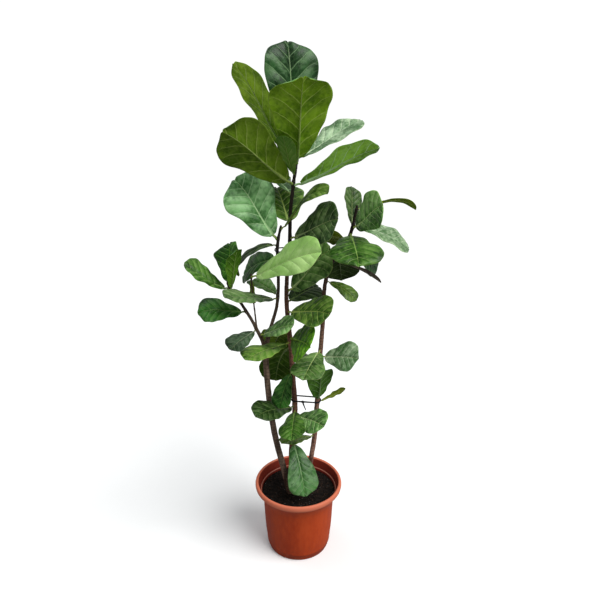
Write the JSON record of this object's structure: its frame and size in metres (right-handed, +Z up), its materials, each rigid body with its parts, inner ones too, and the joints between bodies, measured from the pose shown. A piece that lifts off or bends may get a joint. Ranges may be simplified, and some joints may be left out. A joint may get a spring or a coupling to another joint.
{
  "type": "potted fiddle leaf fig",
  "caption": "Tall fiddle leaf fig with broad leathery leaves on slender brown stems tied together, in a round terracotta-coloured nursery pot filled with dark compost.",
  "frame": {"origin": "centre of the pot's base, on the floor", "axes": "+Z up along the pot's axis; -Y is the front, the side the young pale leaf hangs on; +X is to the right seen from the front"},
  "size_m": [0.671, 0.3926, 1.6297],
  "materials": {
    "pot_plastic": "satin terracotta-coloured plastic, paler on the lip",
    "compost": "matte, dark and crumbly",
    "bark": "matte brown bark with leaf scars",
    "tie_wire": "dark plastic-coated wire",
    "leaf_green": "leathery, glossy above and duller olive below, with pale veins",
    "leaf_young": "pale, soft young leaf",
    "leaf_dry": "withered and dull"
  },
  "bodies": {
    "root": {"pot": "pot_plastic", "soil": "compost", "left_stem": "bark", "middle_stem": "bark", "right_stem": "bark", "upper_tie": "tie_wire", "lower_tie": "tie_wire", "branch_leaf_01": "leaf_green", "branch_leaf_02": "leaf_green", "branch_leaf_03": "leaf_green", "branch_leaf_04": "leaf_green", "branch_leaf_05": "leaf_green", "branch_leaf_06": "leaf_green", "left_leaf_01": "leaf_green", "left_leaf_02": "leaf_green", "left_leaf_03": "leaf_green", "left_leaf_04": "leaf_green", "left_leaf_05": "leaf_green", "left_leaf_06": "leaf_green", "middle_leaf_01": "leaf_green", "middle_leaf_02": "leaf_green", "middle_leaf_03": "leaf_green", "middle_leaf_04": "leaf_green", "middle_leaf_05": "leaf_green", "middle_leaf_06": "leaf_green", "middle_leaf_07": "leaf_green", "middle_leaf_08": "leaf_green", "middle_leaf_09": "leaf_green", "middle_leaf_10": "leaf_green", "middle_leaf_11": "leaf_green", "middle_leaf_12": "leaf_green", "middle_leaf_13": "leaf_green", "middle_leaf_14": "leaf_green", "middle_leaf_15": "leaf_green", "middle_leaf_16": "leaf_green", "middle_leaf_17": "leaf_green", "middle_leaf_18": "leaf_green", "middle_leaf_19": "leaf_young", "middle_leaf_20": "leaf_green", "middle_leaf_21": "leaf_green", "middle_leaf_22": "leaf_green", "middle_leaf_23": "leaf_green", "right_leaf_01": "leaf_green", "right_leaf_02": "leaf_green", "right_leaf_03": "leaf_green", "right_leaf_04": "leaf_green", "right_leaf_05": "leaf_green", "right_leaf_06": "leaf_green", "right_leaf_07": "leaf_green", "right_leaf_08": "leaf_green", "right_leaf_09": "leaf_dry", "right_leaf_10": "leaf_green", "right_leaf_11": "leaf_green", "right_leaf_12": "leaf_green", "right_leaf_13": "leaf_green", "right_leaf_14": "leaf_green", "right_leaf_15": "leaf_green", "right_leaf_16": "leaf_green", "twig_leaf_01": "leaf_green", "twig_leaf_02": "leaf_young"}
  },
  "joints": []
}
